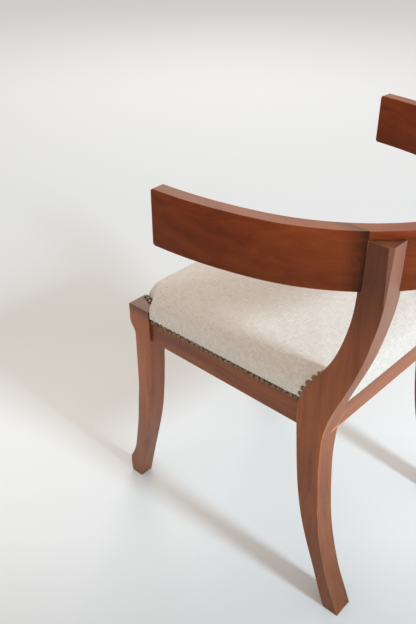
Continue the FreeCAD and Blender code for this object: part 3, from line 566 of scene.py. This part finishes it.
def distance_to(points, loop):
    """Distance from each point to a closed loop of points."""
    ends = np.roll(loop, -1, 0)
    best = np.full(len(points), 1e9)
    for a, b in zip(loop, ends):
        d = b - a
        t = np.clip(((points - a) @ d) / (d @ d), 0, 1)
        best = np.minimum(best, np.linalg.norm(points - a - t[:, None] * d, axis=1))
    return best


def closest(points, others):
    """Distance from each point to the nearest of some others."""
    return np.array([np.min(np.linalg.norm(others - point, axis=1)) for point in points])


def hem_height(y):
    """Height of the cover's lower edge: level in front, climbing to the posts, lower behind."""
    share = np.clip((y - BLOCK_BACK) / (POST_FRONT - BLOCK_BACK), 0, 1)
    height = HEM_FRONT + (HEM_POST - HEM_FRONT) * share
    return np.where(y > RAIL_BACK - HEM_BACK_ZONE, HEM_BACK, height)


seat_middle = np.array([0.0, (RAIL_FRONT + RAIL_BACK) / 2])


def superellipse(share, power):
    """Height of a rounded edge, from 0 at its foot to 1, where share says how far in it is."""
    return (1 - (1 - np.minimum(share, 1)) ** power) ** (1 / power)


def seat_columns(inset):
    """Rings of points from the hem to the crown, as an array (ring, column, xyz), and outward ways."""
    edge = seat_boundary(SIDE_BULGE - inset, END_BULGE - inset)
    base = seat_boundary(COVER_THICKNESS - inset, COVER_THICKNESS - inset, count=len(edge))
    whole = seat_boundary(SIDE_BULGE - inset, END_BULGE - inset, step=COARSE_STEP, notched=False)
    tangent = np.roll(edge, -1, 0) - np.roll(edge, 1, 0)
    outward = np.stack([tangent[:, 1], -tangent[:, 0]], 1)
    outward /= np.linalg.norm(outward, axis=1)[:, None]
    cut_start = block_cut(SIDE_BULGE - inset)[0]
    at_side = np.abs(edge[:, 0]) > side_face(RAIL_FRONT) - BLOCK_ZONE
    on_block = at_side & (edge[:, 1] < cut_start[1] + CUT_SLACK)
    cut = edge[on_block]
    cut_height = BLOCK_TOP + CUT_LIFT
    shoulder = softened(np.where(on_block, cut_height, SHOULDER), SOFTENING)
    hem = hem_height(edge[:, 1])
    ahead_of_post = np.clip((POST_FACE_Y - edge[:, 1]) / PUFF_TO_POST, 0, 1)
    free = np.where(on_block, 0.0, np.where(np.abs(edge[:, 0]) > SIDE_ZONE, ahead_of_post, 1.0))
    along = np.concatenate([[0], np.cumsum(np.linalg.norm(np.diff(edge, axis=0), axis=1))])
    pull = np.cos(2 * math.pi * along / NAIL_PITCH)
    rings = []
    for share in np.linspace(0, 1, SKIRT_RINGS, endpoint=False):
        rise = min(max((share - PUFF_START) / PUFF_GROWTH, 0.0), 1.0)
        swell = math.sin(math.pi / 2 * rise)
        flat = base + (edge - base) * swell
        pucker = PUCKER * pull * math.sin(math.pi * min(share / PUCKER_END, 1.0))
        puff = PUFF * swell * (1 - share) + pucker
        flat = flat + outward * (free * puff)[:, None]
        rings.append(np.column_stack([flat, hem + (shoulder - hem) * share]))
    for step in range(TOP_RINGS):
        angle = math.pi / 2 * step / TOP_RINGS
        share = 1 - math.cos(angle) ** (2 / ROLL)
        flat = edge + (seat_middle - edge) * share
        lift = superellipse(distance_to(flat, whole) / ROLL_REACH, ROLL)
        crown = SHOULDER + (CROWN - inset - SHOULDER) * lift
        fall = superellipse(closest(flat, cut) / BLOCK_FALL, 2.0)
        height = cut_height + (crown - cut_height) * fall
        rings.append(np.column_stack([flat, np.where(step == 0, shoulder, height)]))
    rings = np.array(rings)
    rings[SKIRT_RINGS + 1:, :, 2] = softened(rings[SKIRT_RINGS + 1:, :, 2], SOFTENING, axis=1)
    return rings, outward


def unrolled(rings, outward):
    """Places on the flat cloth: the plan at the crown, then lengths measured over the edge."""
    places = np.zeros(rings.shape[:2] + (2,))
    places[-1] = rings[-1, :, :2]
    for k in range(len(rings) - 2, -1, -1):
        step = rings[k] - rings[k + 1]
        plan = step[:, :2]
        length = np.linalg.norm(plan, axis=1)[:, None]
        way = np.where(length > 0.4 * MM, plan / np.maximum(length, 1e-9), outward)
        places[k] = places[k + 1] + way * np.linalg.norm(step, axis=1)[:, None]
    return places


def ring_faces(ring_count, column_count):
    """Faces between rings of points, closed at the top by one last point in the middle."""
    faces = []
    for k in range(ring_count - 1):
        for i in range(column_count):
            j = (i + 1) % column_count
            faces.append((k * column_count + i, k * column_count + j,
                          (k + 1) * column_count + j, (k + 1) * column_count + i))
    top = ring_count * column_count
    last = (ring_count - 1) * column_count
    faces += [(last + i, last + (i + 1) % column_count, top) for i in range(column_count)]
    return faces


def apply_modifiers(made):
    """Makes the shape that the modifiers give the object's own mesh."""
    graph = bpy.context.evaluated_depsgraph_get()
    mesh = bpy.data.meshes.new_from_object(made.evaluated_get(graph))
    old = made.data
    made.modifiers.clear()
    made.data = mesh
    bpy.data.meshes.remove(old)


def cutters():
    """Closed copies of the legs and posts, a hair larger, to cut the soft pieces with."""
    made = []
    for node in ("front_leg_left", "front_leg_right", "rear_post_left", "rear_post_right"):
        work = bmesh.new()
        work.from_mesh(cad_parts[node].data)
        bmesh.ops.remove_doubles(work, verts=work.verts, dist=WELD_DISTANCE)
        mesh = bpy.data.meshes.new("cutter")
        work.to_mesh(mesh)
        work.free()
        cutter = bpy.data.objects.new("cutter", mesh)
        bpy.context.scene.collection.objects.link(cutter)
        made.append(cutter)
    return made


def cut_by_wood(made, tools):
    """Cuts away what reaches into the legs and posts."""
    for tool in tools:
        cut = made.modifiers.new("cut", "BOOLEAN")
        cut.object = tool
        cut.operation = "DIFFERENCE"
        cut.solver = "EXACT"
    bpy.context.view_layer.update()
    apply_modifiers(made)


def cover_mesh():
    """The linen's outer face, with its places on the flat cloth for the weave."""
    rings, outward = seat_columns(0.0)
    count = rings.shape[1]
    places = unrolled(rings, outward)
    points = list(rings.reshape(-1, 3)) + [rings[-1].mean(0)]
    faces = ring_faces(len(rings), count)
    mesh = mesh_from("seat_cover_linen", points, faces)
    flat = np.concatenate([places.reshape(-1, 2), places[-1].mean(0)[None]])
    layer = mesh.uv_layers.new(name="weave")
    corner = np.zeros(len(mesh.loops), int)
    mesh.loops.foreach_get("vertex_index", corner)
    layer.data.foreach_set("uv", flat[corner].astype(np.float32).ravel())
    return mesh


tools = cutters()
cover = piece("seat_cover_linen", cover_mesh(), linen)
thick = cover.modifiers.new("cloth", "SOLIDIFY")
thick.thickness = COVER_THICKNESS
thick.offset = -1.0
cut_by_wood(cover, tools)
cover.data.polygons.foreach_set("use_smooth", [True] * len(cover.data.polygons))
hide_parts("seat_cover")


# Wadding and foam under the cover, in the same form
def pad_mesh(name, inset, bottom):
    """A closed pad in the cover's form, an inset smaller, down to its level bottom."""
    keep = seat_columns(inset)[0][SKIRT_RINGS:][::2]
    count = keep.shape[1]
    foot = keep[0].copy()
    foot[:, 2] = bottom
    keep = np.concatenate([foot[None], keep])
    points = list(keep.reshape(-1, 3)) + [keep[-1].mean(0)]
    faces = ring_faces(len(keep), count) + [tuple(range(count))[::-1]]
    return mesh_from(name, points, faces)


seat_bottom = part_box("hessian")[1].z
foam_pad = piece("seat_foam_pad", pad_mesh("seat_foam_pad", FOAM_INSET, seat_bottom), foam)
cut_by_wood(foam_pad, tools)
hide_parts("seat_foam")

layer = seat_columns(COVER_THICKNESS + LAYER_GAP)[0][SKIRT_RINGS - WADDING_SKIRT_RINGS:]
layer_points = list(layer.reshape(-1, 3)) + [layer[-1].mean(0)]
layer_mesh = mesh_from("seat_wadding_layer", layer_points, ring_faces(len(layer), layer.shape[1]))
wadding = piece("seat_wadding_layer", layer_mesh, fleece)
thick = wadding.modifiers.new("layer", "SOLIDIFY")
thick.thickness = WADDING_THICKNESS
thick.offset = -1.0
cut_by_wood(wadding, tools)
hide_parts("wadding")


# Hessian and dust cover: flat cloth stretched over the rails
def stretched_cloth(name, node, material, sag):
    """A cloth that fills the plan of its node in the frame and hangs down in the middle by the sag."""
    low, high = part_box(node)
    middle_z = low.z + CLOTH_THICKNESS / 2
    cells = CLOTH_CELLS
    points = []
    for r in range(cells + 1):
        y = low.y + (high.y - low.y) * r / cells
        reach = high.x - (y - low.y) * SIDE_LEAN
        for c in range(cells + 1):
            x = -reach + 2 * reach * c / cells
            drop = math.sin(math.pi * r / cells) * math.sin(math.pi * c / cells)
            points.append((x, y, middle_z - sag * math.sqrt(drop)))
    corners = [r * (cells + 1) + c for r in range(cells) for c in range(cells)]
    faces = [(k, k + 1, k + cells + 2, k + cells + 1) for k in corners]
    cloth = piece(name, mesh_from(name, points, faces), material)
    thick = cloth.modifiers.new("cloth", "SOLIDIFY")
    thick.thickness = CLOTH_THICKNESS
    thick.offset = 0.0
    cut_by_wood(cloth, tools)
    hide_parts(node)
    return cloth


hessian = stretched_cloth("hessian_cloth", "hessian", hessian_cloth, 0.0)
dust_cover = stretched_cloth("dust_cover_cambric", "dust_cover", cambric, DUST_COVER_SAG)
for tool in tools:
    bpy.data.objects.remove(tool)


# Domed nails
def dome(work, place, direction, chance):
    """One nail head, slightly out of true, added to the mesh."""
    tilt = Vector((chance.uniform(-1, 1), chance.uniform(-1, 1), chance.uniform(-1, 1))) * NAIL_TILT
    way = (Vector(direction) + tilt).normalized()
    turn = way.to_track_quat("Z", "Y").to_matrix().to_4x4()
    size = chance.uniform(*NAIL_SIZES)
    around = [2 * math.pi * k / NAIL_SIDES for k in range(NAIL_SIDES)]
    rings = []
    for level in range(NAIL_LEVELS):
        climb = math.pi / 2 * level / NAIL_LEVELS
        radius = NAIL_DIAMETER / 2 * math.cos(climb) * size
        height = NAIL_HEIGHT * math.sin(climb) * size
        rings.append([(radius * math.cos(angle), radius * math.sin(angle), height) for angle in around])
    under = [(x * NAIL_RIM, y * NAIL_RIM, -NAIL_RIM_DEPTH) for x, y, z in rings[0]]
    rings.insert(0, under)
    matrix = Matrix.Translation(place) @ turn
    rows = [[work.verts.new(matrix @ Vector(p)) for p in ring] for ring in rings]
    tip = work.verts.new(matrix @ Vector((0, 0, NAIL_HEIGHT * size)))
    for low, high in zip(rows, rows[1:]):
        for k in range(NAIL_SIDES):
            following = (k + 1) % NAIL_SIDES
            work.faces.new((low[k], low[following], high[following], high[k]))
    for k in range(NAIL_SIDES):
        work.faces.new((rows[-1][k], rows[-1][(k + 1) % NAIL_SIDES], tip))
    work.faces.new(list(reversed(rows[0])))


def nail_mesh(name, nails, seed):
    """One mesh of all the nail heads in a row."""
    chance = random.Random(seed)
    work = bmesh.new()
    for place, direction in nails:
        dome(work, Vector(place), direction, chance)
    mesh = bpy.data.meshes.new(name)
    work.to_mesh(mesh)
    work.free()
    mesh.polygons.foreach_set("use_smooth", [True] * len(mesh.polygons))
    return mesh


def nail_row(node, along):
    """Places along a row whose ends are those of the nails in the frame."""
    low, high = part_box(node)
    half = NAIL_DIAMETER / 2
    start = Vector((0, 0, low.z + half))
    end = Vector((0, 0, high.z - half))
    if along == "y":
        start.y, end.y = low.y + half, high.y - half
    else:
        start.x, end.x = low.x + half, high.x - half
    count = int((end - start).length / NAIL_PITCH + 1.01)
    return [start.lerp(end, k / (count - 1)) for k in range(count)]


def on_cover(start, way):
    """The place just under the cover where a line meets it, and the cover's way out there."""
    hit, place, normal, _ = cover.ray_cast(Vector(start), Vector(way).normalized())
    return (place - normal * NAIL_SUNK, normal) if hit else None


def post_nails():
    """Nails up the edge of the cover where it meets a rear post, then over its rounded shoulder."""
    found = []
    for inward, back, height, lean in POST_NAILS:
        y = POST_FACE_Y + back * MM
        target = Vector((side_face(y, inward * MM) + SIDE_BULGE, y, height * MM))
        way = Vector((math.cos(math.radians(lean)), 0, math.sin(math.radians(lean))))
        found.append(on_cover(target + way * NAIL_PROBE, -way))
    return [nail for nail in found if nail]


def block_nails():
    """Nails through the cover's edge into the top of a leg block, near its inner front corner."""
    top = BLOCK_TOP + BLOCK_NAIL_LIFT
    return [(Vector((side_face(RAIL_FRONT, inward * MM), RAIL_FRONT + back * MM, top)), BLOCK_NAIL_WAY)
            for inward, back in BLOCK_NAILS]


out_left = Vector((1, SIDE_LEAN, 0)).normalized()
left_nails = [(Vector((side_face(p.y) + COVER_THICKNESS, p.y, p.z)), out_left)
              for p in nail_row("cover_nails_left", "y")]
front_nails = [(Vector((p.x, RAIL_FRONT - COVER_THICKNESS, p.z)), Vector((0, -1, 0)))
               for p in nail_row("cover_nails_front", "x")]
left_nails += post_nails() + block_nails()
right_nails = [(Vector((-p.x, p.y, p.z)), Vector((-d.x, d.y, d.z))) for p, d in left_nails]
for side, nails, seed in (("left", left_nails, 5), ("right", right_nails, 6), ("front", front_nails, 7)):
    name = f"brass_nails_{side}"
    row = piece(name, nail_mesh(name, nails, seed), aged_brass)
    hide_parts(f"cover_nails_{side}")


# Floor, lamps and camera
def look_from(eye, yaw, pitch, roll):
    """Camera matrix for a place, heading, downward pitch and roll in degrees."""
    yaw, pitch, roll = (math.radians(a) for a in (yaw, pitch, roll))
    ahead = Vector((math.cos(pitch) * math.cos(yaw), math.cos(pitch) * math.sin(yaw), -math.sin(pitch)))
    right = ahead.cross(Vector((0, 0, 1))).normalized()
    up = right.cross(ahead)
    right, up = (right * math.cos(roll) + up * math.sin(roll), up * math.cos(roll) - right * math.sin(roll))
    matrix = Matrix((right, up, -ahead)).transposed().to_4x4()
    matrix.translation = eye
    return matrix


camera_data = bpy.data.cameras.new("camera")
camera = bpy.data.objects.new("camera", camera_data)
bpy.context.scene.collection.objects.link(camera)
camera.matrix_world = look_from(eye=Vector((0.99026, 0.65653, 1.23972)), yaw=223.807, pitch=33.347,
                                roll=-0.1045)
camera_data.lens = 41.98
camera_data.sensor_width = 36.0
bpy.context.scene.camera = camera

FLOOR_HALF = 60.0
VIEW_WAY = (-0.722, -0.692, 0.0)    # level heading of the camera
# Floor colours and glow by how far away they are, as REACH_SCALE x depth + REACH_SHIFT;
# the colours are painted light and shade across the floor
REACH_SCALE = 0.2
REACH_SHIFT = 0.2
# painted light and shade: the floor's colour by distance
FLOOR_PAINTED_SHADING = ((0.12, 0.58), (0.17, 0.70), (0.235, 0.75), (0.32, 0.66), (0.5, (0.62, 0.64, 0.66)))
FLOOR_GLOW = ((0.12, 0.0), (0.20, 0.07), (0.34, 0.03), (0.8, 0.13))


def floor():
    """A wide pale floor with painted light and shade that change with distance, glowing for the camera and
    its mirror images.
    """
    size = FLOOR_HALF
    mesh = mesh_from("floor", [(-size, -size, 0), (size, -size, 0), (size, size, 0), (-size, size, 0)],
                     [(0, 1, 2, 3)], False)
    made = bpy.data.objects.new("floor", mesh)
    bpy.context.scene.collection.objects.link(made)
    material, tree, shader = new_material("floor")
    place = add(tree, "TexCoord").outputs["Object"]
    depth = vectors(tree, "DOT_PRODUCT", place, VIEW_WAY)
    reach = calculate(tree, "MULTIPLY_ADD", depth, REACH_SCALE, REACH_SHIFT)
    feed(tree, shader.inputs["Base Color"], ramp(tree, reach, *FLOOR_PAINTED_SHADING))
    shader.inputs["Roughness"].default_value = 0.9
    shader.inputs["Specular IOR Level"].default_value = 0.1
    seen = add(tree, "LightPath")
    looked_at = calculate(tree, "MAXIMUM", calculate(tree, "MAXIMUM", seen.outputs["Is Camera Ray"],
                                                     seen.outputs["Is Glossy Ray"]),
                          seen.outputs["Is Transmission Ray"])
    glow = add(tree, "Emission", Color=(0.85, 0.93, 1.0, 1.0),
               Strength=calculate(tree, "MULTIPLY", looked_at, ramp(tree, reach, *FLOOR_GLOW)))
    both = add(tree, "AddShader")
    feed(tree, both.inputs[0], shader.outputs[0])
    feed(tree, both.inputs[1], glow.outputs[0])
    tree.links.new(both.outputs[0], tree.nodes["Material Output"].inputs[0])
    mesh.materials.append(material)


def lamp(name, place, target, size, power, colour):
    """A round soft lamp that points at its target."""
    data = bpy.data.lights.new(name, "AREA")
    data.shape = "DISK"
    data.size = size
    data.energy = power
    data.color = colour
    made = bpy.data.objects.new(name, data)
    bpy.context.scene.collection.objects.link(made)
    made.location = place
    made.rotation_euler = (Vector(target) - Vector(place)).to_track_quat("-Z", "Y").to_euler()


floor()
lamp("key", place=(0.04, 3.0, 2.27), target=(0, -0.1, 0.45), size=0.5, power=108.0, colour=(0.68, 0.87, 1.0))
lamp("wall", place=(-2.6, -2.6, 2.9), target=(0, 0, 0.5), size=2.5, power=48.0, colour=(1.0, 0.93, 0.86))
world = bpy.data.worlds.new("studio")
bpy.context.scene.world = world
world.use_nodes = True
sky = world.node_tree
seen = add(sky, "LightPath")
sky.nodes["Background"].inputs[0].default_value = (1.0, 0.925, 0.845, 1.0)
sky.nodes["Background"].inputs[1].default_value = 0.80
backdrop = add(sky, "Background", Color=(0.84, 0.84, 0.83, 1.0), Strength=1.0)
either = add(sky, "MixShader")
feed(sky, either.inputs[0], seen.outputs["Is Camera Ray"])
feed(sky, either.inputs[1], sky.nodes["Background"].outputs[0])
feed(sky, either.inputs[2], backdrop.outputs[0])
sky.links.new(either.outputs[0], sky.nodes["World Output"].inputs[0])
bpy.context.scene.view_settings.view_transform = "Standard"
